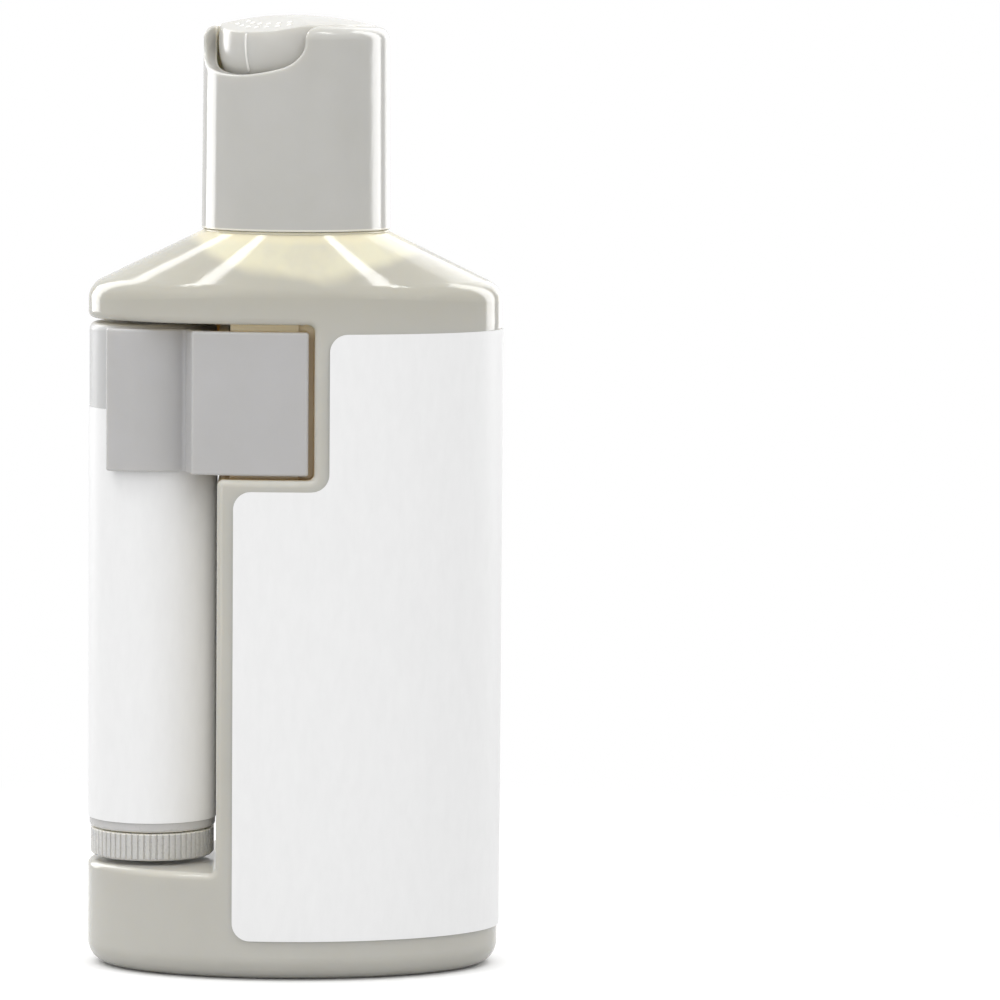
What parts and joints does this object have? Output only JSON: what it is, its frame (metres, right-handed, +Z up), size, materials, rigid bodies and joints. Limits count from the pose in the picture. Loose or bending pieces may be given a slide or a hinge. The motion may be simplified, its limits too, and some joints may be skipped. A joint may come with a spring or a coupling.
{
  "type": "lotion bottle with docked lip balm",
  "caption": "Oval squeeze bottle with a disc-top screw cap, a stepped wrap label and a twist-up lip balm stick clipped into a dock in its side.",
  "frame": {"origin": "middle of the oval base, on the surface that the bottle stands on", "axes": "+Z up along the neck, +X to the right as seen from the front, front towards -Y"},
  "size_m": [0.0519, 0.0306, 0.1192],
  "materials": {
    "bottle": "translucent natural polyethylene, satin gloss",
    "label_paper": "white film, lower ply",
    "label_face": "white coated film, bare of print",
    "clip": "white polypropylene, matt",
    "cap": "white polypropylene, smooth gloss",
    "gasket": "white foamed liner",
    "balm_plastic": "white polypropylene, satin",
    "balm_label": "white coated film, bare of print",
    "balm": "pale wax balm"
  },
  "bodies": {
    "bottle_body": {"bottle": "bottle", "label_base": "label_paper", "label_leaf": "label_face", "retainer_clip": "clip"},
    "gasket_body": {"cap_gasket": "gasket"},
    "cap_body": {"cap_shell": "cap"},
    "disc_body": {"cap_disc": "cap"},
    "stick_body": {"balm_tube": "balm_plastic", "balm_cap": "balm_plastic", "balm_label": "balm_label"},
    "dial_body": {"balm_dial": "balm_plastic"},
    "carrier_body": {"balm_carrier": "balm_plastic", "balm_bullet": "balm"}
  },
  "joints": [
    {"name": "cap_lift", "type": "slide", "parent": "bottle_body", "child": "gasket_body", "axis": [0, 0, 1], "range_m": [0, 0.01588]},
    {"name": "cap_turn", "type": "hinge", "parent": "gasket_body", "child": "cap_body", "pos_m": [0, 0, 0.1], "axis": [0, 0, 1], "range_deg": [0, 1800]},
    {"name": "disc_tilt", "type": "hinge", "parent": "cap_body", "child": "disc_body", "pos_m": [0, 0, 0.1157], "axis": [-0.766, 0.6428, 0], "range_deg": [0, 22]},
    {"name": "stick_pull", "type": "slide", "parent": "bottle_body", "child": "stick_body", "axis": [-1, 0, 0], "range_m": [0, 0.04], "deforming": ["retainer_clip"]},
    {"name": "dial_turn", "type": "hinge", "parent": "stick_body", "child": "dial_body", "pos_m": [-0.01772, 0, 0], "axis": [0, 0, 1], "range_deg": [0, 540]},
    {"name": "carrier_rise", "type": "slide", "parent": "stick_body", "child": "carrier_body", "axis": [0, 0, 1], "range_m": [0, 0.0042]}
  ],
  "couplings": [
    {"joint": "cap_turn", "follows": "cap_lift", "rad_per_m": 1978.9},
    {"joint": "dial_turn", "follows": "carrier_rise", "rad_per_m": 2244}
  ]
}
